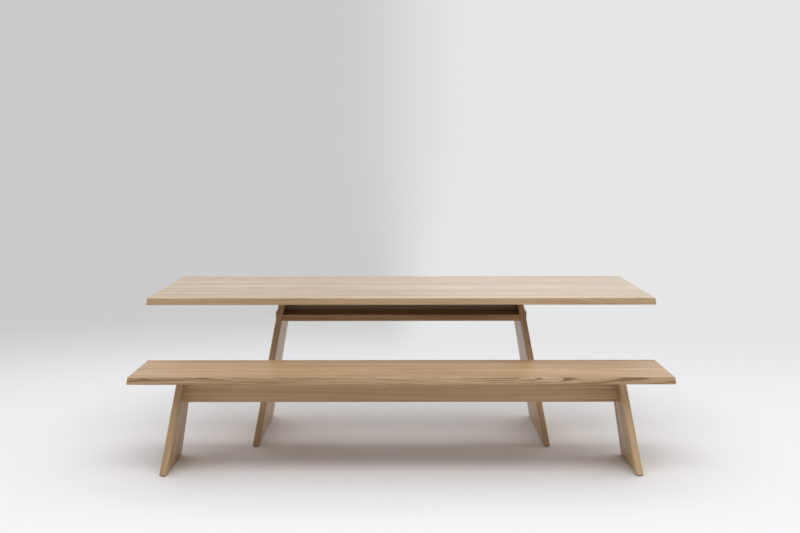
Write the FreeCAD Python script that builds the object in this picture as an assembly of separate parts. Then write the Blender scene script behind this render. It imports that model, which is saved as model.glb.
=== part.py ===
import FreeCAD, Part
import math
import os

# Oak dining table with its long bench. Panel legs splay the same angle both
# ways, and the ends of the two tops are bevelled to match. The legs are held
# apart by a rail whose tenons pass right through them: a flat shelf in the
# table, with an upright beam on it under the top, and a beam alone in the
# bench. Every panel is glued up from staves.
#
# Millimetres. X runs along the set, Y from the bench to the far side of the
# table, Z up. The origin is on the floor under the middle of the set.

Vec = FreeCAD.Vector

# Timber shared by the table and the bench
TOP_LENGTH = 2423.0          # both tops, over the lower corners of their ends
TOP_THICK = 32.0
LEG_THICK = 30.0             # square to the panel
ARRIS = 2.0                  # rounding of the edges in sight
EASE = 1.5                   # flat on the lower edges of the tops and the feet
TOP_CORNER = 4.0             # rounding of a top's corners, seen from above
TENON_ARRIS = 1.2            # rounding of the tenons' ends
TENON_PROUD = 14.0           # past the leg's outer face, at the tenon's middle
JOINT_CLEAR = 0.1            # all round a tenon, a screw or a let-in batten
BEAM_THICK = 30.0
BEAM_HOUSING = 8.0           # how deep a beam is let into the top or the seat
TUCK = 20.0                  # how far the seat reaches in under the table top

# Table
TABLE_HEIGHT = 740.0
TABLE_DEPTH = 900.0
TABLE_BOARDS = 12
TABLE_SPREAD = 1447.0        # over the legs' outer faces, at the floor
TABLE_FOOT = 640.0           # width of a leg, at the floor
TABLE_SPLAY_DEG = 9.75       # of the legs, both ways, and of the top's ends
SHELF_THICK = 31.0
SHELF_GAP = 83.0             # open height between the shelf and the top
SHELF_SETBACK = 5.0          # shelf's edge behind the leg's edge

# Bench
BENCH_HEIGHT = 443.0
BENCH_DEPTH = 408.0
BENCH_BOARDS = 6
BENCH_SPREAD = 2143.0
BENCH_FOOT = 364.0
BENCH_SPLAY_DEG = 9.2
BENCH_STAVES = 4             # in each leg
BEAM_HEIGHT = 119.0
BEAM_TENON = 70.0            # height of the beam's tenons

# Loose tenons between the bench's legs and its seat
LOOSE_THICK = 10.0
LOOSE_WIDTH = 40.0
LOOSE_BITE = 18.0            # into the leg, and as far again into the seat
LOOSE_Y = 60.0               # each way from the middle of the leg

# Steel angles in the corners under the table top
ANGLE_LEG = 38.0
ANGLE_THICK = 4.0
ANGLE_SETBACK = 30.0         # angle's end inside the leg's edge
BEND_RADIUS = 1.5            # inside of the bend
ANGLE_SCREW_REACH = 24.0     # a screw's distance from the corner
ANGLE_SCREW_Y = 140.0        # of the screws into the leg, each way from its middle
ANGLE_SCREW_BOARD = 1.5      # of the screws into the top, in boards from the middle
SLOT_TRAVEL = 5.0            # lets the boards swell and shrink past the steel
ANGLE_ROOM = 3.0             # between the steel and the table's beam, cut away round it

# Hexagon-head wood screws
SHANK = 6.0
HEAD_ACROSS_FLATS = 10.0
HEAD_HEIGHT = 4.0
SCREW_LENGTH = 20.0          # under the head

# Dovetailed battens slid across the underside of the table top from the far edge
BATTEN_WIDTH = 60.0          # at its widest, in the wood
BATTEN_DEPTH = 14.0
BATTEN_FLARE = 2.5           # how far each side opens out from the face into the wood
BATTEN_INSET = 310.0         # batten's centre line inside the table's end
BATTEN_STOP = 70.0           # its near end inside the table's near edge
BATTEN_SHY = 3.0             # its far end inside the table's far edge

# Nylon glides under the feet
GLIDE_DIAMETER = 22.0
GLIDE_THICK = 4.0
GLIDE_EDGE = 1.0
GLIDE_INSET = 14.0           # glide's centre inside the end of the foot

SET_DEPTH = TABLE_DEPTH + BENCH_DEPTH - TUCK
TABLE_Y = (SET_DEPTH - TABLE_DEPTH) / 2
BENCH_Y = (BENCH_DEPTH - SET_DEPTH) / 2
TABLE_UNDER = TABLE_HEIGHT - TOP_THICK
BENCH_UNDER = BENCH_HEIGHT - TOP_THICK
UP = Vec(0, 0, 1)
NEAR = 1e-6
FAR = 5000.0


def box(x0, x1, y0, y1, z0, z1):
    return Part.makeBox(x1 - x0, y1 - y0, z1 - z0, Vec(x0, y0, z0))


def run_along_y(outline, y0, y1):
    """A closed XZ outline carried from y0 to y1."""
    ring = [Vec(x, y0, z) for x, z in outline]
    face = Part.Face(Part.makePolygon(ring + ring[:1]))
    return face.extrude(Vec(0, y1 - y0, 0))


def mirrored(shape):
    """The same shape at the other end of the set."""
    return shape.mirror(Vec(0, 0, 0), Vec(1, 0, 0))


def placed(shape, at, way):
    """A shape built on the Z axis, moved to a point and turned to a direction in XZ."""
    moved = shape.copy()
    moved.Placement = FreeCAD.Placement(at, FreeCAD.Rotation(UP, way))
    return moved


def one_body(shape):
    """A lone solid as itself, several as a group."""
    solids = shape.Solids
    return solids[0] if len(solids) == 1 else Part.makeCompound(solids)


def level_edges(shape, z):
    """The edges that lie in the level plane at z."""
    return [e for e in shape.Edges if all(abs(v.Z - z) < NEAR for v in e.Vertexes)]


def rising_edges(shape):
    """The edges that climb from one level to another."""
    return [e for e in shape.Edges if abs(e.Vertexes[0].Z - e.Vertexes[-1].Z) > NEAR]


def edges_along_y(shape, x, z):
    """The edges that run along Y through a point of an XZ outline."""
    return [e for e in level_edges(shape, z) if all(abs(v.X - x) < NEAR for v in e.Vertexes)]


def rim_at(shape, x):
    """The edges round an end that is square to X."""
    return [e for e in shape.Edges if all(abs(v.X - x) < NEAR for v in e.Vertexes)]


class Screw:
    """A hexagon-head wood screw: where its head seats, and which way it points."""

    def __init__(self, at, way):
        self.at = at
        self.way = way

    def body(self):
        corner = HEAD_ACROSS_FLATS / math.sqrt(3)
        turns = [math.radians(60 * i) for i in range(7)]
        rim = [Vec(corner * math.cos(t), corner * math.sin(t), 0) for t in turns]
        head = Part.Face(Part.makePolygon(rim)).extrude(UP * -HEAD_HEIGHT)
        return placed(head.fuse(Part.makeCylinder(SHANK / 2, SCREW_LENGTH)), self.at, self.way)

    def hole(self):
        bore = Part.makeCylinder(SHANK / 2 + JOINT_CLEAR, SCREW_LENGTH + JOINT_CLEAR)
        return placed(bore, self.at, self.way)

    def slot(self, steel):
        """A slot along Y through the steel under the head."""
        half, radius = SLOT_TRAVEL / 2, SHANK / 2 + JOINT_CLEAR
        middle = box(-radius, radius, -half, half, 0, steel)
        ends = [Part.makeCylinder(radius, steel, Vec(0, y, 0)) for y in (-half, half)]
        return placed(middle.fuse(ends).removeSplitter(), self.at, self.way)

    def mirrored(self):
        return Screw(Vec(-self.at.x, self.at.y, self.at.z),
                     Vec(-self.way.x, self.way.y, self.way.z))


def both_ends(screws):
    return screws + [screw.mirrored() for screw in screws]


def seams(centre, depth, count):
    """The glue lines of a panel of equal boards, with its two edges."""
    return [centre - depth / 2 + depth * i / count for i in range(count + 1)]


def slice_at(panel, y0, y1):
    """The stave of a panel between two glue lines."""
    slab = box(-FAR, FAR, y0, y1, -FAR, FAR)
    return one_body(panel.common(slab))


class Legs:
    """The two legs of one piece: where they stand, how wide and how splayed they are."""

    def __init__(self, centre_y, spread, foot, splay_deg, under):
        self.centre_y = centre_y
        self.spread = spread
        self.foot = foot
        self.under = under
        splay = math.radians(splay_deg)
        self.tan, self.cos, self.sin = math.tan(splay), math.cos(splay), math.sin(splay)
        self.run = LEG_THICK / self.cos    # leg thickness measured level

    def outer(self, z):
        """X of the right-hand leg's outer face at a height."""
        return self.spread / 2 - self.tan * z

    def inner(self, z):
        return self.outer(z) - self.run

    def half(self, z):
        """Half the width of a leg at a height."""
        return self.foot / 2 - self.tan * z

    def panel(self):
        """The right-hand leg: eased foot, soft long edges, square where it meets the top."""
        levels = (GLIDE_THICK, self.under)
        outer = [(self.outer(z), z) for z in levels]
        inner = [(self.inner(z), z) for z in reversed(levels)]
        splayed = run_along_y(outer + inner, self.centre_y - self.foot, self.centre_y + self.foot)
        front = [Vec(0, self.centre_y - self.half(z), z) for z in levels]
        back = [Vec(0, self.centre_y + self.half(z), z) for z in reversed(levels)]
        ring = front + back
        taper = Part.Face(Part.makePolygon(ring + ring[:1])).extrude(Vec(self.spread, 0, 0))
        panel = splayed.common(taper).Solids[0]
        panel = panel.makeChamfer(EASE, level_edges(panel, GLIDE_THICK))
        corners = [e for e in rising_edges(panel)
                   if max(v.Z for v in e.Vertexes) > self.under - NEAR]
        return panel.makeFillet(ARRIS, corners)

    def glides(self):
        """A bevelled nylon disc near each end of each foot."""
        x = self.outer(GLIDE_THICK) - self.run / 2
        reach = self.half(GLIDE_THICK) - GLIDE_INSET
        discs = [Part.makeCylinder(GLIDE_DIAMETER / 2, GLIDE_THICK,
                                   Vec(x, self.centre_y + side * reach, 0)) for side in (-1, 1)]
        discs = [disc.makeChamfer(GLIDE_EDGE, level_edges(disc, 0)) for disc in discs]
        return group(discs + [mirrored(disc) for disc in discs])


TABLE_LEGS = Legs(TABLE_Y, TABLE_SPREAD, TABLE_FOOT, TABLE_SPLAY_DEG, TABLE_UNDER)
BENCH_LEGS = Legs(BENCH_Y, BENCH_SPREAD, BENCH_FOOT, BENCH_SPLAY_DEG, BENCH_UNDER)


def top_panel(legs, depth):
    """A whole top: ends bevelled as its legs splay, soft upper edge and corners, eased lower edge."""
    under, centre_y = legs.under, legs.centre_y
    low, high = TOP_LENGTH / 2, TOP_LENGTH / 2 - legs.tan * TOP_THICK
    over = under + TOP_THICK
    outline = [(-low, under), (low, under), (high, over), (-high, over)]
    panel = run_along_y(outline, centre_y - depth / 2, centre_y + depth / 2)
    panel = panel.makeFillet(TOP_CORNER, rising_edges(panel))
    panel = panel.makeFillet(ARRIS, level_edges(panel, over))
    return panel.makeChamfer(EASE, level_edges(panel, under))


def drilled(panel, screws):
    return panel.cut([screw.hole() for screw in screws])


def pair(prefix, right):
    """A node at each end of the set, from the shape at the right-hand end."""
    return {prefix + "_right": right, prefix + "_left": mirrored(right)}


def group(shapes):
    return Part.makeCompound(shapes)


def leg_staves(prefix, panel, lines, mortise):
    """Both legs of one piece, as staves between glue lines.

    The mortise is cut only from the staves that the tenon crosses.
    """
    nodes = {}
    low_y, high_y = mortise.BoundBox.YMin, mortise.BoundBox.YMax
    for i in range(len(lines) - 1):
        stave = slice_at(panel, lines[i], lines[i + 1])
        if lines[i] < high_y - NEAR and lines[i + 1] > low_y + NEAR:
            stave = one_body(stave.cut(mortise))
        nodes[f"{prefix}_leg_right_stave_{i + 1}"] = stave
        nodes[f"{prefix}_leg_left_stave_{i + 1}"] = mirrored(stave)
    return nodes


def corner_angle(y0, y1):
    """The right-hand steel angle, bent to lie on the leg and under the top."""
    sin, cos = TABLE_LEGS.sin, TABLE_LEGS.cos
    corner = TABLE_LEGS.inner(TABLE_UNDER)
    low = TABLE_UNDER - ANGLE_THICK
    along = ANGLE_THICK * (1 - sin) / cos
    outside = (corner, TABLE_UNDER)
    inside = (corner - ANGLE_THICK * cos + along * sin, low)
    foot = (corner + ANGLE_LEG * sin, TABLE_UNDER - ANGLE_LEG * cos)
    heel = (foot[0] - ANGLE_THICK * cos, foot[1] - ANGLE_THICK * sin)
    outline = [outside, (corner - ANGLE_LEG, TABLE_UNDER), (corner - ANGLE_LEG, low),
               inside, heel, foot]
    blank = run_along_y(outline, y0, y1)
    blank = blank.makeFillet(BEND_RADIUS, edges_along_y(blank, *inside))
    return blank.makeFillet(BEND_RADIUS + ANGLE_THICK, edges_along_y(blank, *outside))


def angle_screws(board):
    """The right-hand angle's screws: those up into the top, and those out into the leg."""
    corner = Vec(TABLE_LEGS.inner(TABLE_UNDER), TABLE_Y, TABLE_UNDER)
    outward = Vec(TABLE_LEGS.cos, 0, TABLE_LEGS.sin)
    down = Vec(TABLE_LEGS.sin, 0, -TABLE_LEGS.cos)
    up_at = corner - Vec(ANGLE_SCREW_REACH, 0, ANGLE_THICK)
    out_at = corner + down * ANGLE_SCREW_REACH - outward * ANGLE_THICK
    up = [Screw(up_at + Vec(0, side * ANGLE_SCREW_BOARD * board, 0), UP) for side in (-1, 1)]
    out = [Screw(out_at + Vec(0, side * ANGLE_SCREW_Y, 0), outward) for side in (-1, 1)]
    return up, out


def batten_blank(grow, stop, shy):
    """The right-hand batten, or its housing when grown by a clearance.

    stop and shy are how far its ends lie inside the table's near and far edges.
    """
    x = TOP_LENGTH / 2 - BATTEN_INSET
    wide = BATTEN_WIDTH / 2 + grow
    narrow = wide - BATTEN_FLARE
    deep = TABLE_UNDER + BATTEN_DEPTH
    outline = [(x - narrow, TABLE_UNDER), (x + narrow, TABLE_UNDER), (x + wide, deep),
               (x - wide, deep)]
    return run_along_y(outline, TABLE_Y - TABLE_DEPTH / 2 + stop, TABLE_Y + TABLE_DEPTH / 2 - shy)


def shelf_boards(low, high, tenon_half, shelf_half):
    """Four boards: the middle two run through the legs as one wide tenon."""
    tenon_end = TABLE_LEGS.outer((low + high) / 2) + TENON_PROUD
    middle = box(-tenon_end, tenon_end, TABLE_Y - tenon_half, TABLE_Y + tenon_half, low, high)
    middle = middle.makeFillet(TENON_ARRIS, rim_at(middle, tenon_end) + rim_at(middle, -tenon_end))
    low_x, high_x = TABLE_LEGS.inner(low), TABLE_LEGS.inner(high)
    outline = [(-low_x, low), (low_x, low), (high_x, high), (-high_x, high)]
    edge_y = TABLE_Y + shelf_half
    flank = run_along_y(outline, TABLE_Y + tenon_half, edge_y)
    long_edges = [e for e in level_edges(flank, low) + level_edges(flank, high)
                  if all(abs(v.Y - edge_y) < NEAR for v in e.Vertexes)]
    flank = flank.makeFillet(ARRIS, long_edges)
    return {
        "table_shelf_board_1": flank.mirror(Vec(0, TABLE_Y, 0), Vec(0, 1, 0)),
        "table_shelf_board_2": slice_at(middle, TABLE_Y - 2 * tenon_half, TABLE_Y),
        "table_shelf_board_3": slice_at(middle, TABLE_Y, TABLE_Y + 2 * tenon_half),
        "table_shelf_board_4": flank,
    }


def groove_for_beam(legs, end):
    """What is cut from under a top to let its beam in."""
    half = BEAM_THICK / 2 + JOINT_CLEAR
    end += JOINT_CLEAR
    return box(-end, end, legs.centre_y - half, legs.centre_y + half,
               legs.under - JOINT_CLEAR, legs.under + BEAM_HOUSING)


def table_beam(low, end):
    """An upright board from the shelf into the top, cut away over the steel angles."""
    step = TABLE_UNDER - ANGLE_LEG * TABLE_LEGS.cos - ANGLE_ROOM
    right = [(TABLE_LEGS.inner(low), low), (TABLE_LEGS.inner(step), step), (end, step),
             (end, TABLE_UNDER + BEAM_HOUSING)]
    outline = right + [(-x, z) for x, z in reversed(right)]
    return run_along_y(outline, TABLE_Y - BEAM_THICK / 2, TABLE_Y + BEAM_THICK / 2)


def table_nodes():
    """Every piece of the table."""
    board = TABLE_DEPTH / TABLE_BOARDS
    top_lines = seams(TABLE_Y, TABLE_DEPTH, TABLE_BOARDS)
    shelf_high = TABLE_UNDER - SHELF_GAP
    shelf_low = shelf_high - SHELF_THICK
    shelf_half = TABLE_LEGS.half(shelf_high) - SHELF_SETBACK
    tenon_half = shelf_half / 2
    nodes = shelf_boards(shelf_low, shelf_high, tenon_half, shelf_half)
    beam_end = TABLE_LEGS.inner(TABLE_UNDER) - ANGLE_LEG - ANGLE_ROOM
    nodes["table_beam"] = table_beam(shelf_high, beam_end)

    up, out = angle_screws(board)
    angle_half = TABLE_LEGS.half(TABLE_UNDER) - ANGLE_SETBACK
    angle = corner_angle(TABLE_Y - angle_half, TABLE_Y + angle_half)
    angle = angle.cut([screw.slot(ANGLE_THICK) for screw in up + out])
    nodes.update(pair("table_angle", one_body(angle)))
    nodes["table_angle_screws"] = group([screw.body() for screw in both_ends(up + out)])

    nodes.update(pair("table_batten", batten_blank(0.0, BATTEN_STOP, BATTEN_SHY)))
    housing = batten_blank(JOINT_CLEAR, BATTEN_STOP - JOINT_CLEAR, -TABLE_DEPTH)
    top = top_panel(TABLE_LEGS, TABLE_DEPTH).cut([housing, mirrored(housing)])
    top = top.cut(groove_for_beam(TABLE_LEGS, beam_end))
    top = drilled(top, both_ends(up))
    for i in range(TABLE_BOARDS):
        nodes[f"table_top_board_{i + 1:02d}"] = slice_at(top, top_lines[i], top_lines[i + 1])

    # The legs' two middle staves are in two lengths, which leave the mortise
    panel = drilled(TABLE_LEGS.panel(), out)
    mortise_half = tenon_half + JOINT_CLEAR
    flank_half = (mortise_half + TABLE_FOOT / 2) / 2
    lines = [TABLE_Y + y for y in (-TABLE_FOOT / 2, -flank_half, -mortise_half, 0.0,
                                   mortise_half, flank_half, TABLE_FOOT / 2)]
    mortise = box(0, FAR, TABLE_Y - mortise_half, TABLE_Y + mortise_half,
                  shelf_low - JOINT_CLEAR, shelf_high + JOINT_CLEAR)
    nodes.update(leg_staves("table", panel, lines, mortise))
    nodes["table_glides"] = TABLE_LEGS.glides()
    return nodes


def bench_beam(low, tenon_low, tenon_high):
    """An upright board with splayed shoulders, a tenon at each end and soft lower edges."""
    tenon_end = BENCH_LEGS.outer((tenon_low + tenon_high) / 2) + TENON_PROUD
    shoulder = [(BENCH_LEGS.inner(z), z) for z in (low, tenon_low, tenon_high, BENCH_UNDER)]
    top_end = shoulder[-1][0]
    right = (shoulder[:2] + [(tenon_end, tenon_low), (tenon_end, tenon_high)] + shoulder[2:]
             + [(top_end, BENCH_UNDER + BEAM_HOUSING)])
    outline = right + [(-x, z) for x, z in reversed(right)]
    beam = run_along_y(outline, BENCH_Y - BEAM_THICK / 2, BENCH_Y + BEAM_THICK / 2)
    beam = beam.makeFillet(TENON_ARRIS, rim_at(beam, tenon_end) + rim_at(beam, -tenon_end))
    lower = [e for e in level_edges(beam, low) if abs(e.Vertexes[0].Y - e.Vertexes[1].Y) < NEAR]
    return beam.makeFillet(ARRIS, lower)


def loose_tenons(grow):
    """The right-hand leg's loose tenons, half in the leg and half in the seat."""
    half_x, half_y, bite = LOOSE_THICK / 2 + grow, LOOSE_WIDTH / 2 + grow, LOOSE_BITE + grow
    x = BENCH_LEGS.inner(BENCH_UNDER) + BENCH_LEGS.run / 2
    return [box(x - half_x, x + half_x, y - half_y, y + half_y,
                BENCH_UNDER - bite, BENCH_UNDER + bite)
            for y in (BENCH_Y - LOOSE_Y, BENCH_Y + LOOSE_Y)]


def bench_nodes():
    """Every piece of the bench."""
    low = BENCH_UNDER - BEAM_HEIGHT
    tenon_low = BENCH_UNDER - (BEAM_HEIGHT + BEAM_TENON) / 2
    tenon_high = tenon_low + BEAM_TENON
    tenons = loose_tenons(0.0)
    pockets = loose_tenons(JOINT_CLEAR)
    nodes = {
        "bench_beam": bench_beam(low, tenon_low, tenon_high),
        "bench_loose_tenons": group(tenons + [mirrored(tenon) for tenon in tenons]),
    }

    groove = groove_for_beam(BENCH_LEGS, BENCH_LEGS.inner(BENCH_UNDER))
    seat = top_panel(BENCH_LEGS, BENCH_DEPTH).cut(groove)
    seat = seat.cut(pockets + [mirrored(pocket) for pocket in pockets])
    lines = seams(BENCH_Y, BENCH_DEPTH, BENCH_BOARDS)
    for i in range(BENCH_BOARDS):
        nodes[f"bench_seat_board_{i + 1}"] = slice_at(seat, lines[i], lines[i + 1])

    # The middle glue line of each leg runs down the middle of the mortise
    panel = BENCH_LEGS.panel().cut(pockets)
    mortise_half = BEAM_THICK / 2 + JOINT_CLEAR
    mortise = box(0, FAR, BENCH_Y - mortise_half, BENCH_Y + mortise_half,
                  tenon_low - JOINT_CLEAR, tenon_high + JOINT_CLEAR)
    nodes.update(leg_staves("bench", panel, seams(BENCH_Y, BENCH_FOOT, BENCH_STAVES), mortise))
    nodes["bench_glides"] = BENCH_LEGS.glides()
    return nodes


os.makedirs("parts", exist_ok=True)
for name, shape in {**table_nodes(), **bench_nodes()}.items():
    shape.exportStep(f"parts/{name}.step")
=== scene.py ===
"""The looks of an oiled oak dining table and its long bench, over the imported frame.

Metres, in the frame's own axes: X along the set, Y from the bench to the far side of
the table, Z up from the floor. Names that end in _mm hold millimetres.
"""

import logging
import math
import random
from dataclasses import dataclass, replace
from enum import Enum

import bmesh
import bpy
from mathutils import Euler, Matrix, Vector

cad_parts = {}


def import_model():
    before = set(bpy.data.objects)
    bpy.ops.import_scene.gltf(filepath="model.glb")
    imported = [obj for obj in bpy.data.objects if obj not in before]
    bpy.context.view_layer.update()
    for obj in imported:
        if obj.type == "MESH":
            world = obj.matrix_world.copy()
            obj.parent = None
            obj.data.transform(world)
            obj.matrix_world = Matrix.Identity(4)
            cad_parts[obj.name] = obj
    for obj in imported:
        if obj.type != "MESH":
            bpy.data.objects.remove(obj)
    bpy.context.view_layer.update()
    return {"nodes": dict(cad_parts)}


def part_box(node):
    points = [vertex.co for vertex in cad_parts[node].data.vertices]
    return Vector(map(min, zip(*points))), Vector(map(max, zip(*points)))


MM = 0.001
WHITE = (1, 1, 1, 1)
BLACK = (0, 0, 0, 1)
NOISE_MIDDLE = (0.5, 0.5, 0.5)  # what a noise's colour swings about
NUMBER_RESULTS = ("LENGTH", "DOT_PRODUCT")  # vector operations that give a number
MIX_FIRST, MIX_SECOND, MIX_RESULT = 6, 7, 2  # a Mix node's sockets for colours

Tree = bpy.types.NodeTree
Socket = bpy.types.NodeSocket
Pair = tuple[float, float]
Triple = tuple[float, float, float]
Value = float | Triple | Socket

log = logging.getLogger("table_and_bench")


def linear(colour: str) -> tuple[float, float, float, float]:
    """The linear colour of an sRGB hex value.

    Args:
        colour: Such as "#c8a982".

    Returns:
        Red, green, blue and alpha.
    """
    parts = [int(colour[i : i + 2], 16) / 255 for i in (1, 3, 5)]
    red, green, blue = (p / 12.92 if p <= 0.04045 else ((p + 0.055) / 1.055) ** 2.4 for p in parts)
    return red, green, blue, 1.0


def add(tree: Tree, kind: str, inputs: dict | None = None, **settings) -> bpy.types.Node:
    """Adds a node with its settings and its inputs.

    Args:
        tree: The node tree.
        kind: The node's type, without the leading "ShaderNode".
        inputs: Socket name or number to a value, or to the output socket that feeds it.
        settings: The node's own properties.

    Returns:
        The node.
    """
    node = tree.nodes.new("ShaderNode" + kind)
    for name, value in settings.items():
        setattr(node, name, value)
    for key, value in (inputs or {}).items():
        socket = node.inputs[key]
        if isinstance(value, Socket):
            tree.links.new(value, socket)
        else:
            socket.default_value = value
    return node


def calc(tree: Tree, operation: str, *values: Value) -> Socket:
    """One step of arithmetic on numbers.

    Args:
        tree: The node tree.
        operation: The Math node's operation.
        values: The numbers, or the sockets that give them.

    Returns:
        The result.
    """
    return add(tree, "Math", dict(enumerate(values)), operation=operation).outputs[0]


def calc_vector(tree: Tree, operation: str, *values: Value) -> Socket:
    """One step of arithmetic on vectors.

    Args:
        tree: The node tree.
        operation: The Vector Math node's operation.
        values: The vectors, or the sockets that give them.

    Returns:
        The result.
    """
    node = add(tree, "VectorMath", dict(enumerate(values)), operation=operation)
    return node.outputs["Value" if operation in NUMBER_RESULTS else "Vector"]


def remap(tree: Tree, value: Socket, start: float, end: float, low: float = 0.0,
          high: float = 1.0, smooth: bool = False) -> Socket:
    """A number brought from one range to another, and held inside it.

    Args:
        tree: The node tree.
        value: The number.
        start: Where it gives the low result.
        end: Where it gives the high one.
        low: The low result.
        high: The high result.
        smooth: Whether it eases in and out.

    Returns:
        The result.
    """
    inputs = {"Value": value, "From Min": start, "From Max": end, "To Min": low, "To Max": high}
    easing = "SMOOTHSTEP" if smooth else "LINEAR"
    return add(tree, "MapRange", inputs, interpolation_type=easing).outputs[0]


def blend(tree: Tree, share: Socket, first: Value, second: Value) -> Socket:
    """A colour between two.

    Args:
        tree: The node tree.
        share: How much of the second there is, from 0 to 1.
        first: The colour at 0.
        second: The colour at 1.

    Returns:
        The colour.
    """
    inputs = {"Factor": share, MIX_FIRST: first, MIX_SECOND: second}
    return add(tree, "Mix", inputs, data_type="RGBA").outputs[MIX_RESULT]


@dataclass(frozen=True)
class Relief:
    """How rough a skin feels.

    Attributes:
        strength: How far it turns the light, from 0 to 1.
        depth_mm: How deep it is.
    """

    strength: float
    depth_mm: float


def cover(tree: Tree, colour: Socket | tuple, rough: Socket, ior: float, height: Socket,
          relief: Relief) -> None:
    """Ends a material with its shader.

    Args:
        tree: The material's tree.
        colour: The skin's colour.
        rough: Its roughness.
        ior: Its index of refraction.
        height: The height of its relief, from 0 to 1.
        relief: What that height amounts to.
    """
    normal = add(tree, "Bump", {"Strength": relief.strength, "Distance": relief.depth_mm * MM,
                                "Height": height}).outputs[0]
    shader = add(tree, "BsdfPrincipled", {"Base Color": colour, "Roughness": rough, "IOR": ior,
                                          "Normal": normal})
    add(tree, "OutputMaterial", {"Surface": shader.outputs[0]})


def new_material(name: str) -> tuple[bpy.types.Material, Tree]:
    """An empty node material.

    Args:
        name: Its name.

    Returns:
        The material and its tree.
    """
    material = bpy.data.materials.new(name)
    material.use_nodes = True
    material.node_tree.nodes.clear()
    return material, material.node_tree


def dress(piece: bpy.types.Object, material: bpy.types.Material) -> None:
    """Gives every material slot of a piece the one material.

    Args:
        piece: The piece.
        material: The material.
    """
    if not piece.material_slots:
        piece.data.materials.append(material)
    for slot in piece.material_slots:
        slot.material = material


class Grain(Enum):
    """Which way a board's grain runs."""

    ALONG = "along X"
    UP_LEFT_LEG = "up the left leg"
    UP_RIGHT_LEG = "up the right leg"


class Sawn(Enum):
    """How a board was sawn, which decides the figure on its face."""

    QUARTER = "quarter sawn"  # heart level with the board: straight lines
    FLAT = "flat sawn"  # heart under or over the board: arches
    BY_THE_HEART = "sawn by the heart"  # heart close in front of the board: wild on its front edge


@dataclass(frozen=True)
class Cut:
    """Where in the log a board comes from.

    Attributes:
        turn: The turn about Y that brings its grain onto X, in degrees.
        place: The board's middle from the log's heart, along, across and through the board.
        tone: How much paler than the rest the board is, from -1 to 1.
        warmth: How much redder than the rest the board is, from -1 to 1.
    """

    turn: float
    place: Vector
    tone: float
    warmth: float

    @classmethod
    def of(cls, name: str, turn: float, sawn: Sawn) -> "Cut":
        """A cut that is the board's own, the same at every run.

        Args:
            name: The board's or its log's name, which picks the numbers.
            turn: The turn about Y that brings its grain onto X, in degrees.
            sawn: How the board was sawn.

        Returns:
            The cut.
        """
        from_heart_mm, off_heart_mm = (110, 240), (-45, 45)
        front_across_mm, front_through_mm = (62, 80), (12, 30)
        along_m, either = (-4, 4), (-1, 1)
        draw = random.Random(name)
        away = draw.choice(either) * draw.uniform(*from_heart_mm) * MM
        aside = draw.uniform(*off_heart_mm) * MM
        across, through = (away, aside) if sawn is Sawn.QUARTER else (aside, away)
        if sawn is Sawn.BY_THE_HEART:
            across = draw.uniform(*front_across_mm) * MM
            through = draw.choice(either) * draw.uniform(*front_through_mm) * MM
        place = Vector((draw.uniform(*along_m), across, through))
        return cls(turn, place, draw.uniform(*either), draw.uniform(*either))


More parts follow.
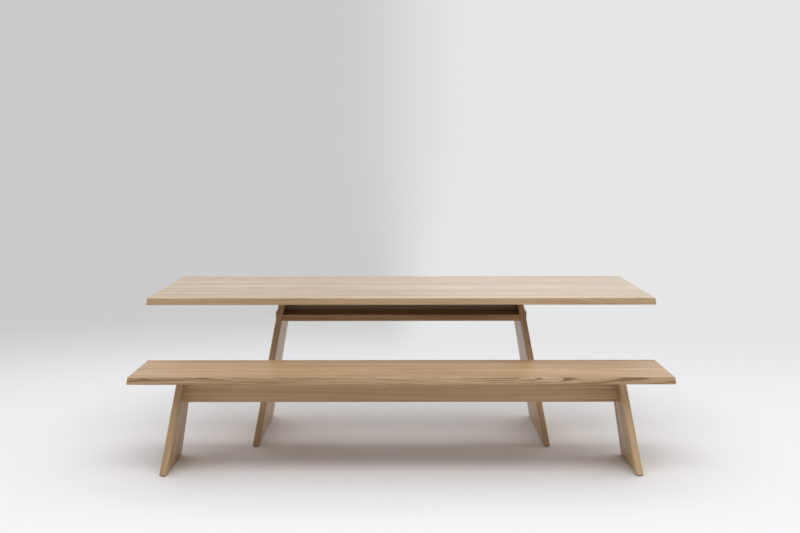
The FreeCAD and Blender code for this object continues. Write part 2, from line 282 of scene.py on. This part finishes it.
@dataclass(frozen=True)
class OiledOak:
    """European oak, planed, sanded along the grain and rubbed with a clear oil.

    The eye gets pale straw to tan rings with a band of fine dark pores in each, a silk
    sheen at low angles, and a darker colour where the end grain has drunk the oil.
    A share says how far something moves the tone, which runs from 0, dark, to 1, pale.
    """

    # Colours, and the tones where the dark, the tan and the pale one stand
    dark: str = "#93704f"
    tan: str = "#bf9f76"
    pale: str = "#dcc09a"
    tones: Triple = (0.05, 0.48, 0.95)
    rose: str = "#c99e7c"
    rose_share: float = 0.22  # where a board is reddest
    rose_spread: float = 0.18  # how far that differs from board to board
    rose_clouds: Pair = (0.4, 0.7)
    board_share: float = 0.12  # how far the boards differ
    end: float = 0.72  # end grain's brightness against the face's
    end_turn: Pair = (0.55, 0.9)  # cosine to the grain where that starts and is full

    # A log's rings: a year is pale late wood and a darker line of early wood
    ring_mm: float = 2.6
    ring_share: float = 0.28
    early_share: float = 0.38  # how much of a year's width the early wood fades out over
    early_start: float = 0.92  # where in the year before it starts
    band_mm: float = 22.0  # several slow or quick years together
    band_waves: Pair = (0.7, 0.4)  # how often that changes: a metre along, a radian round
    band_share: float = 1.0
    band_years: float = 3.0  # how far a band shifts its rings

    # The heart wanders along the log, and the rings tremble
    sway_mm: float = 7.0
    sway_every_mm: float = 750.0
    sway_waves: float = 3.0  # a metre across
    sway_detail: float = 1.5  # how many finer layers the noise has
    tremble_mm: float = 0.6
    tremble_waves: Triple = (11.0, 55.0, 55.0)  # a metre each way
    tremble_detail: float = 2.0

    # Streaks follow the rings, and clouds drift over them
    streak_mm: Pair = (900.0, 7.0)  # length and width
    streak_waves: float = 4.0  # a radian round the heart
    streak_share: float = 0.9
    cloud_waves: Triple = (2.2, 9.0, 9.0)  # a metre each way
    cloud_share: float = 0.35

    # Length and width of pores and of the rays' flecks: the real ones are about half as
    # wide, too fine to show
    pore_mm: Pair = (14.0, 0.55)
    pore_edges: Pair = (0.55, 0.72)
    pore_share: float = -0.42
    late_pores: float = 0.2  # how many of them late wood has, against early wood
    fleck_mm: Pair = (16.0, 0.5)
    fleck_depth_mm: float = 12.5  # out from the heart
    radian_mm: float = 180.0  # what a radian round the heart is in a common board
    fleck_edges: Pair = (0.66, 0.74)
    fleck_share: float = 0.10

    # The oiled skin
    roughness: float = 0.38
    pore_roughness: float = 0.22
    early_depth: float = 0.25  # how deep the sander cuts early wood, against a pore's depth
    relief: Relief = Relief(0.6, 0.06)
    ior: float = 1.5

    def material(self, name: str, middle: Vector, cut: Cut) -> bpy.types.Material:
        """One board's material.

        Args:
            name: The board's name.
            middle: The board's middle.
            cut: Where in the log the board comes from.

        Returns:
            The material.
        """
        material, tree = new_material("oiled_oak_" + name)
        turn = Euler((0, math.radians(cut.turn), 0))
        start = cut.place - turn.to_matrix() @ middle
        own = add(tree, "TexCoord").outputs["Object"]
        placed = add(tree, "Mapping", {"Vector": own, "Location": start,
                                       "Rotation": turn}).outputs[0]
        round_heart, radius = self.round_heart(tree, placed)

        scale = (self.band_waves[0], 1000 / self.band_mm, self.band_waves[1])
        band = self.noise(tree, round_heart, scale, detail=4.0)["Fac"]
        early = self.early_wood(tree, radius, band)
        pore = self.pores(tree, placed, early)
        length, width = self.fleck_mm
        scale = (1000 / length, 1000 / self.fleck_depth_mm, self.radian_mm / width)
        flake = self.noise(tree, round_heart, scale, detail=1.0)["Fac"]
        flake = remap(tree, flake, *self.fleck_edges)
        length, width = self.streak_mm
        scale = (1000 / length, 1000 / width, self.streak_waves)
        streak = self.noise(tree, round_heart, scale, detail=2.0)["Fac"]
        cloud = self.noise(tree, placed, self.cloud_waves, detail=2.0)["Fac"]

        # The tone starts where the parts leave a board of middle tone
        swings = ((band, self.band_share), (streak, self.streak_share), (cloud, self.cloud_share))
        marks = ((early, -self.ring_share), (pore, self.pore_share), (flake, self.fleck_share))
        tone = self.tones[1] + self.board_share * cut.tone + self.ring_share * self.early_share / 2
        tone -= sum(share for part, share in swings) / 2
        for part, share in swings + marks:
            tone = calc(tree, "MULTIPLY_ADD", part, share, tone)
        wood = self.colour(tree, tone, cloud, cut.warmth)

        # End grain is darker: the face there looks along the grain
        facing = add(tree, "TexCoord").outputs["Normal"]
        along = turn.to_matrix().transposed() @ Vector((1, 0, 0))
        end_on = calc(tree, "ABSOLUTE", calc_vector(tree, "DOT_PRODUCT", facing, along))
        shade = remap(tree, end_on, *self.end_turn, 1.0, self.end)
        wood = add(tree, "VectorMath", {0: wood, "Scale": shade}, operation="SCALE").outputs[0]

        rough = calc(tree, "MULTIPLY_ADD", pore, self.pore_roughness, self.roughness)
        height = calc(tree, "MULTIPLY", pore, -1.0)
        height = calc(tree, "MULTIPLY_ADD", early, -self.early_depth, height)
        cover(tree, wood, rough, self.ior, height, self.relief)
        return material

    def round_heart(self, tree: Tree, placed: Socket) -> tuple[Socket, Socket]:
        """The coordinates of a log that isn't quite straight.

        Args:
            tree: The node tree.
            placed: The place from the log's heart, along, across and through the board.

        Returns:
            Length, distance and angle round the heart as a vector, and the distance alone.
        """
        bent = placed
        sway_scale = (1000 / self.sway_every_mm, self.sway_waves, self.sway_waves)
        sway = (sway_scale, self.sway_detail, self.sway_mm)
        tremble = (self.tremble_waves, self.tremble_detail, self.tremble_mm)
        for scale, detail, reach_mm in (sway, tremble):
            reach = 4 * reach_mm * MM  # noise seldom swings by more than a quarter
            swing = self.noise(tree, placed, scale, detail)["Color"]
            swing = calc_vector(tree, "SUBTRACT", swing, NOISE_MIDDLE)
            swing = calc_vector(tree, "MULTIPLY", swing, (0, reach, reach))
            bent = calc_vector(tree, "ADD", bent, swing)
        apart = add(tree, "SeparateXYZ", {0: bent}).outputs
        radius = calc_vector(tree, "LENGTH", calc_vector(tree, "MULTIPLY", bent, (0, 1, 1)))
        angle = calc(tree, "ARCTAN2", apart["Z"], apart["Y"])
        whole = add(tree, "CombineXYZ", {"X": apart["X"], "Y": radius, "Z": angle})
        return whole.outputs[0], radius

    def early_wood(self, tree: Tree, radius: Socket, band: Socket) -> Socket:
        """Where the porous wood of spring is.

        Args:
            tree: The node tree.
            radius: The distance from the heart.
            band: The slow and quick years.

        Returns:
            From 0, late wood, to 1, early wood.
        """
        year = calc(tree, "MULTIPLY", radius, 1000 / self.ring_mm)
        pace = calc(tree, "MULTIPLY_ADD", band, self.band_years, year)
        ramp = add(tree, "ValToRGB", {"Fac": calc(tree, "FRACT", pace)})
        stops = ramp.color_ramp.elements
        stops[0].color = WHITE
        stops[1].position, stops[1].color = self.early_share, BLACK
        stops.new(self.early_start).color = BLACK
        stops.new(1.0).color = WHITE
        return ramp.outputs["Color"]

    def pores(self, tree: Tree, placed: Socket, early: Socket) -> Socket:
        """The open pores, most of them in early wood.

        Args:
            tree: The node tree.
            placed: The place in the log.
            early: Where the early wood is.

        Returns:
            From 0, closed wood, to 1, a pore.
        """
        length, width = self.pore_mm
        scale = (1000 / length, 1000 / width, 1000 / width)
        speck = self.noise(tree, placed, scale, detail=1.0)["Fac"]
        pore = remap(tree, speck, *self.pore_edges, smooth=True)
        crowd = calc(tree, "MULTIPLY_ADD", early, 1 - self.late_pores, self.late_pores)
        return calc(tree, "MULTIPLY", pore, crowd)

    def colour(self, tree: Tree, tone: Socket, cloud: Socket, warmth: float) -> Socket:
        """The wood's colour before the end grain is darkened.

        Args:
            tree: The node tree.
            tone: From 0, dark, to 1, pale.
            cloud: Where the wood is redder.
            warmth: How much redder than the rest the board is.

        Returns:
            The colour.
        """
        ramp = add(tree, "ValToRGB", {"Fac": tone})
        stops = ramp.color_ramp.elements
        low, middle, high = self.tones
        stops[0].position, stops[0].color = low, linear(self.dark)
        stops[1].position, stops[1].color = high, linear(self.pale)
        stops.new(middle).color = linear(self.tan)
        most = self.rose_share + self.rose_spread * warmth
        blush = remap(tree, cloud, *self.rose_clouds, high=most)
        return blend(tree, blush, ramp.outputs["Color"], linear(self.rose))

    @staticmethod
    def noise(tree: Tree, place: Socket, scale: Triple, detail: float) -> bpy.types.NodeOutputs:
        """Noise with its own scale each way.

        Args:
            tree: The node tree.
            place: The coordinates, in metres.
            scale: Waves in one unit of each coordinate.
            detail: How many finer layers there are.

        Returns:
            The noise's outputs, "Fac" and "Color".
        """
        spread = calc_vector(tree, "MULTIPLY", place, scale)
        return add(tree, "TexNoise", {"Vector": spread, "Scale": 1.0, "Detail": detail}).outputs


@dataclass(frozen=True)
class PowderCoatedSteel:
    """Bent mild steel, powder coated and baked.

    The eye gets a near-black satin skin with a faint orange peel.
    """

    name: str = "powder_coated_steel"
    colour: str = "#26272a"
    peel_mm: float = 1.2
    roughness: Pair = (0.42, 0.5)
    relief: Relief = Relief(0.4, 0.03)
    ior: float = 1.5

    def material(self) -> bpy.types.Material:
        """The material that all the steel shares.

        Returns:
            The material.
        """
        material, tree = new_material(self.name)
        own = add(tree, "TexCoord").outputs["Object"]
        noise = add(tree, "TexNoise", {"Vector": own, "Scale": 1000 / self.peel_mm, "Detail": 1.0})
        peel = noise.outputs["Fac"]
        rough = remap(tree, peel, 0.0, 1.0, *self.roughness)
        cover(tree, linear(self.colour), rough, self.ior, peel, self.relief)
        return material


@dataclass(frozen=True)
class MouldedNylon:
    """Nylon, moulded in a sparked steel tool.

    The eye gets a dark matt skin with a fine even grain and a little dust in it.
    """

    name: str = "moulded_nylon"
    colour: str = "#2b2b2c"
    dust: str = "#4a4947"
    dust_edges: Pair = (0.45, 0.85)  # the height in the grain from which dust lies
    grain_mm: float = 0.8
    roughness: Pair = (0.5, 0.68)
    relief: Relief = Relief(0.5, 0.04)
    ior: float = 1.53

    def material(self) -> bpy.types.Material:
        """The material that all the glides share.

        Returns:
            The material.
        """
        material, tree = new_material(self.name)
        own = add(tree, "TexCoord").outputs["Object"]
        noise = add(tree, "TexNoise", {"Vector": own, "Scale": 1000 / self.grain_mm, "Detail": 2.0})
        grain = noise.outputs["Fac"]
        settled = remap(tree, grain, *self.dust_edges)
        colour = blend(tree, settled, linear(self.colour), linear(self.dust))
        rough = remap(tree, grain, 0.0, 1.0, *self.roughness)
        cover(tree, colour, rough, self.ior, grain, self.relief)
        return material


# The table top's oak: polished smooth for a real shine, and its colours painted paler than the
# bench's, a painted sheen
POLISHED_OAK_PAINTED_SHEEN = OiledOak(dark="#997756", tan="#c6a981", pale="#e2caa5", rose="#cda583",
                         roughness=0.16)


@dataclass(frozen=True)
class Finishes:
    """The finishes that the whole set shares.

    The crooked logs' rings are drawn about twice as wide as real, so that they show.

    Attributes:
        oak: The bench, where nothing else is said.
        painted_shade_oak: The table's shelf and legs, their colours painted darker as painted shade
            from the table top over them.
        straight_oak_painted_light: The bench's beam, from a slow and even log, its colours painted
            paler to stand in for light that the seat's overhang keeps off it.
        painted_light_oak: The table's beam, an even log whose colours are painted much paler,
            painted light for the dark gap under the top.
        polished_oak_painted_sheen: The table's top, rubbed until it shines, its colours also
            painted paler, a painted sheen.
        crooked_oak: The seat's front board.
        crooked_oak_painted_sheen: The table top's front board, with the same painted sheen.
        steel: The table's angles and their screws.
        nylon: The glides.
    """

    oak: OiledOak = OiledOak()
    # Painted shade: darker colours for the shelf and the legs, which stand in the table top's shade
    painted_shade_oak: OiledOak = OiledOak(dark="#8c6a4a", tan="#b8986f", pale="#d6b992", rose="#c29675")
    # Fine even figure from a slow log; the paler colours are painted light for the beam in the
    # seat's shade
    straight_oak_painted_light: OiledOak = OiledOak(dark="#9b7753", tan="#c9a87b", pale="#e7cba1", rose="#d3a782",
                                      band_mm=10.0, band_share=0.5, streak_share=0.8)
    # Painted light: much paler colours stand in for light in the gap between the shelf and the top;
    # the even figure is the wood's
    painted_light_oak: OiledOak = OiledOak(dark="#b39d80", tan="#d8c5a6", pale="#efe0c8", rose="#dfc8ae",
                                   band_mm=10.0, band_share=0.5, streak_share=0.8)
    polished_oak_painted_sheen: OiledOak = POLISHED_OAK_PAINTED_SHEEN
    crooked_oak: OiledOak = OiledOak(dark="#8c6a4b", pale="#e2c8a2", sway_mm=30.0,
                                     sway_every_mm=1800.0, ring_mm=5.0, ring_share=1.0,
                                     early_share=0.24, band_share=1.1)
    crooked_oak_painted_sheen: OiledOak = replace(POLISHED_OAK_PAINTED_SHEEN, sway_mm=30.0, sway_every_mm=1800.0,
                                              ring_mm=5.0, ring_share=0.45, early_share=0.28,
                                              band_share=0.9, streak_share=0.7)
    steel: PowderCoatedSteel = PowderCoatedSteel()
    nylon: MouldedNylon = MouldedNylon()


class Furniture:
    """What the table and the bench have in common: boards, legs and small pieces of the frame."""

    body = ""
    splay_deg = 0.0  # lean of the legs
    front_log = ""  # names the log that gives the front board its figure

    def __init__(self, nodes: dict[str, bpy.types.Object], finishes: Finishes) -> None:
        """Takes this body's pieces out of the frame.

        Args:
            nodes: Every piece of the frame by name.
            finishes: The finishes to use.
        """
        self.nodes = {name: piece for name, piece in nodes.items() if name.startswith(self.body)}
        self.finishes = finishes

    def named(self, *words: str) -> list[str]:
        """The names of this body's pieces that hold all of the words.

        Args:
            words: The words.

        Returns:
            The names, in order.
        """
        return sorted(name for name in self.nodes if all(word in name for word in words))

    def dress_boards(self, names: list[str], grain: Grain, sawn: Sawn, oak: OiledOak,
                     log_name: str = "") -> None:
        """Gives each board a cut and a material of its own.

        Args:
            names: The boards.
            grain: Which way their grain runs.
            sawn: How they were sawn.
            oak: Their oak.
            log_name: The log they come from, if it isn't named for the board.
        """
        turn = {Grain.ALONG: 0.0, Grain.UP_LEFT_LEG: 90.0 - self.splay_deg,
                Grain.UP_RIGHT_LEG: 90.0 + self.splay_deg}[grain]
        for name in names:
            low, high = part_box(name)
            cut = Cut.of(log_name or name, turn, sawn)
            dress(self.nodes[name], oak.material(name, (low + high) / 2, cut))
            log.info("%s: oak, %s, grain %s", name, sawn.value, grain.value)

    def dress_top(self, names: list[str], front_oak: OiledOak, oak: OiledOak) -> None:
        """The boards of a top: a lively one in front, then flat and quarter sawn ones mixed.

        Args:
            names: The boards, from the front.
            front_oak: The front board's oak.
            oak: The others'.
        """
        front, *others = names
        self.dress_boards([front], Grain.ALONG, Sawn.BY_THE_HEART, front_oak, self.front_log)
        self.dress_boards(others[1::3], Grain.ALONG, Sawn.FLAT, oak)
        self.dress_boards(others[::3] + others[2::3], Grain.ALONG, Sawn.QUARTER, oak)

    def dress_legs(self, oak: OiledOak) -> None:
        """Both panel legs: the grain climbs with the lean.

        Args:
            oak: Their oak.
        """
        self.dress_boards(self.named("leg_left"), Grain.UP_LEFT_LEG, Sawn.FLAT, oak)
        self.dress_boards(self.named("leg_right"), Grain.UP_RIGHT_LEG, Sawn.FLAT, oak)

    def dress_plain(self, names: list[str], finish: PowderCoatedSteel | MouldedNylon) -> None:
        """Gives several pieces the one material of their finish.

        Args:
            names: The pieces.
            finish: Their finish.
        """
        material = bpy.data.materials.get(finish.name) or finish.material()
        for name in names:
            dress(self.nodes[name], material)
            log.info("%s: %s", name, finish.name)


class Table(Furniture):
    """The table."""

    body = "table"
    splay_deg = 9.75
    front_log = "b3"  # of the logs tried, its figure is the most like the photograph's

    def build(self) -> None:
        """Dresses every piece of the table."""
        use = self.finishes
        # The top's oak carries a painted sheen: paler colours as well as its low roughness
        self.dress_top(self.named("top_board"), use.crooked_oak_painted_sheen, use.polished_oak_painted_sheen)
        # The shelf's oak is painted darker, a painted shade from the top
        self.dress_boards(self.named("shelf_board"), Grain.ALONG, Sawn.QUARTER, use.painted_shade_oak)
        self.dress_boards(self.named("batten"), Grain.ALONG, Sawn.QUARTER, use.oak)
        # The beam's pale oak is painted light for the gap under the top
        self.dress_boards(self.named("beam"), Grain.ALONG, Sawn.FLAT, use.painted_light_oak)
        # The legs get the same painted shade
        self.dress_legs(use.painted_shade_oak)
        self.dress_plain(self.named("angle"), use.steel)
        self.dress_plain(self.named("glides"), use.nylon)


class Bench(Furniture):
    """The bench."""

    body = "bench"
    splay_deg = 9.2
    front_log = "e11"  # chosen in the same way

    def build(self) -> None:
        """Dresses every piece of the bench."""
        use = self.finishes
        self.dress_top(self.named("seat_board"), use.crooked_oak, use.oak)
        # The beam's paler oak is painted light, for the shade under the seat
        self.dress_boards(self.named("beam"), Grain.ALONG, Sawn.FLAT, use.straight_oak_painted_light)
        self.dress_boards(self.named("loose_tenons"), Grain.ALONG, Sawn.QUARTER, use.oak)
        self.dress_legs(use.oak)
        self.dress_plain(self.named("glides"), use.nylon)


@dataclass(frozen=True)
class SoftBox:
    """A wide lamp with soft edges.

    Attributes:
        name: Its name.
        at: Its middle.
        size: Its width and height.
        watts: Its power.
        aim: The point it faces.
        mirrored: Whether glossy pieces mirror it.
    """

    name: str
    at: Triple
    size: Pair
    watts: float
    aim: Triple = (0.0, 0.0, 0.4)
    mirrored: bool = True

    def build(self) -> None:
        """The lamp."""
        light = bpy.data.lights.new(self.name, "AREA")
        light.shape = "RECTANGLE"
        light.size, light.size_y = self.size
        light.energy = self.watts
        lamp = bpy.data.objects.new(self.name, light)
        lamp.location = self.at
        way = Vector(self.aim) - Vector(self.at)
        lamp.rotation_euler = way.to_track_quat("-Z", "Y").to_euler()
        lamp.visible_glossy = self.mirrored
        bpy.context.scene.collection.objects.link(lamp)


@dataclass(frozen=True)
class Studio:
    """A pale floor that fades into a two-tone backdrop, soft lamps and the camera.

    Attributes:
        floor_radius: Radius of the floor.
        floor_sides: How many sides its rim has.
        floor_colour: The floor round the set.
        far_colour: The floor beyond the fade, as the lamps see it.
        floor_roughness: Of its matt paint.
        floor_specular: How strongly that paint mirrors.
        fade: Where the floor starts to fade and where it has faded, across the set.
        fade_stretch: How much further off the fade is along the set.
        backdrop_colours: The backdrop at the left and at the right, as bright as written.
        backdrop_turn: Sine of the bearings where the left colour ends and the right one starts.
        sky_lights: The two ways that the sky's light comes from, and its strength there.
        sky_edges: Cosine of the angle from that way where the light has gone, and where it is full.
        boxes: A soft box high in front, and weaker ones low in front and at each side.
        camera_at: The camera's place.
        sensor_mm: The width of its frame.
        lens_mm: Its focal length.
        shift: Its frame's shift, in frame widths.
        roll: How far it leans about its line of sight, in radians.
    """

    floor_radius: float = 200.0
    floor_sides: int = 96
    floor_colour: str = "#e4e4e6"
    far_colour: str = "#505050"
    floor_roughness: float = 0.9
    floor_specular: float = 0.2
    fade: Pair = (1.6, 4.6)
    fade_stretch: float = 1.3
    backdrop_colours: tuple[str, str] = ("#cbcbcb", "#e6e6e6")
    backdrop_turn: Pair = (-0.06, 0.07)
    sky_lights: tuple[tuple[Triple, float], ...] = (((0, 0, 1), 0.96), ((0, 1, 0), 1.1))
    sky_edges: Pair = (0.2, 0.9)
    boxes: tuple[SoftBox, ...] = (
        SoftBox("key", at=(0.0, -2.6, 4.8), size=(5.0, 2.0), watts=104.0, aim=(0.0, -0.3, 0.4)),
        SoftBox("fill", at=(0.0, -6.5, 1.2), size=(6.0, 2.0), watts=16.0),
        SoftBox("right", at=(7.0, 0.6, 2.0), size=(4.6, 3.4), watts=94.0, mirrored=False),
        SoftBox("left", at=(-7.0, 0.6, 2.0), size=(4.6, 3.4), watts=47.0, mirrored=False),
    )
    camera_at: Triple = (0.0, -5.638, 1.4635)
    sensor_mm: float = 36.0
    lens_mm: float = 51.07
    shift: Pair = (-0.00125, -0.1512)
    roll: float = 0.001

    def build(self) -> None:
        """Everything round the set."""
        self.floor()
        for box in self.boxes:
            box.build()
        self.sky()
        self.camera()

    def backdrop(self, tree: Tree, away: Socket) -> Socket:
        """The backdrop's colour in a direction from the set.

        Args:
            tree: The node tree.
            away: A vector in that direction.

        Returns:
            The colour.
        """
        level = calc_vector(tree, "NORMALIZE", calc_vector(tree, "MULTIPLY", away, (1, 1, 0)))
        bearing = add(tree, "SeparateXYZ", {0: level}).outputs["X"]
        share = remap(tree, bearing, *self.backdrop_turn, smooth=True)
        left, right = (linear(colour) for colour in self.backdrop_colours)
        return blend(tree, share, left, right)

    @staticmethod
    def seen(tree: Tree) -> Socket:
        """Tells the rays that show the studio from the light's own.

        Args:
            tree: The node tree.

        Returns:
            1 for a ray that shows the studio, seen or mirrored, and 0 for the light's own rays.
        """
        path = add(tree, "LightPath").outputs
        shown = calc(tree, "MAXIMUM", path["Is Camera Ray"], path["Is Glossy Ray"])
        return calc(tree, "MAXIMUM", shown, path["Is Transmission Ray"])

    def floor(self) -> None:
        """A round floor, painted pale near the set and seen as backdrop further off."""
        mesh = bmesh.new()
        bmesh.ops.create_circle(mesh, cap_ends=True, radius=self.floor_radius,
                                segments=self.floor_sides)
        data = bpy.data.meshes.new("floor")
        mesh.to_mesh(data)
        mesh.free()
        floor = bpy.data.objects.new("floor", data)
        bpy.context.scene.collection.objects.link(floor)

        material, tree = new_material("matt_paint")
        own = add(tree, "TexCoord").outputs["Object"]
        spread = calc_vector(tree, "MULTIPLY", own, (1 / self.fade_stretch, 1, 0))
        faded = remap(tree, calc_vector(tree, "LENGTH", spread), *self.fade, smooth=True)
        shown = calc(tree, "MULTIPLY", faded, self.seen(tree))
        dimmed = calc(tree, "SUBTRACT", faded, shown)
        paint = blend(tree, dimmed, linear(self.floor_colour), linear(self.far_colour))
        near = add(tree, "BsdfPrincipled", {"Base Color": paint, "Roughness": self.floor_roughness,
                                            "Specular IOR Level": self.floor_specular})
        beyond = add(tree, "Emission", {"Color": self.backdrop(tree, own), "Strength": 1.0})
        mixed = add(tree, "MixShader", {0: shown, 1: near.outputs[0], 2: beyond.outputs[0]})
        add(tree, "OutputMaterial", {"Surface": mixed.outputs[0]})
        dress(floor, material)

    def sky(self) -> None:
        """Soft light from overhead and from behind the set, and the backdrop's look."""
        world = bpy.data.worlds.new("studio")
        world.use_nodes = True
        world.node_tree.nodes.clear()
        tree = world.node_tree
        away = add(tree, "TexCoord").outputs["Generated"]
        parts = [remap(tree, calc_vector(tree, "DOT_PRODUCT", away, way), *self.sky_edges,
                       high=most, smooth=True) for way, most in self.sky_lights]
        strength = calc(tree, "ADD", *parts)
        light = add(tree, "Background", {"Color": WHITE, "Strength": strength})
        paint = add(tree, "Background", {"Color": self.backdrop(tree, away), "Strength": 1.0})
        mixed = add(tree, "MixShader", {0: self.seen(tree), 1: light.outputs[0],
                                        2: paint.outputs[0]})
        add(tree, "OutputWorld", {"Surface": mixed.outputs[0]})
        bpy.context.scene.world = world

    def camera(self) -> None:
        """The photograph's level camera, with its frame shifted down to the set."""
        data = bpy.data.cameras.new("camera")
        data.sensor_width = self.sensor_mm
        data.lens = self.lens_mm
        data.shift_x, data.shift_y = self.shift
        camera = bpy.data.objects.new("camera", data)
        camera.location = self.camera_at
        camera.rotation_euler = (math.pi / 2, self.roll, 0)
        bpy.context.scene.collection.objects.link(camera)
        bpy.context.scene.camera = camera


def main() -> None:
    """Builds the set and the studio round it."""
    logging.basicConfig(level=logging.INFO, format="%(name)s: %(message)s")
    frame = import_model()
    bpy.context.scene.view_settings.view_transform = "Standard"
    finishes = Finishes()
    Table(frame["nodes"], finishes).build()
    Bench(frame["nodes"], finishes).build()
    Studio().build()


if __name__ == "__main__":
    main()
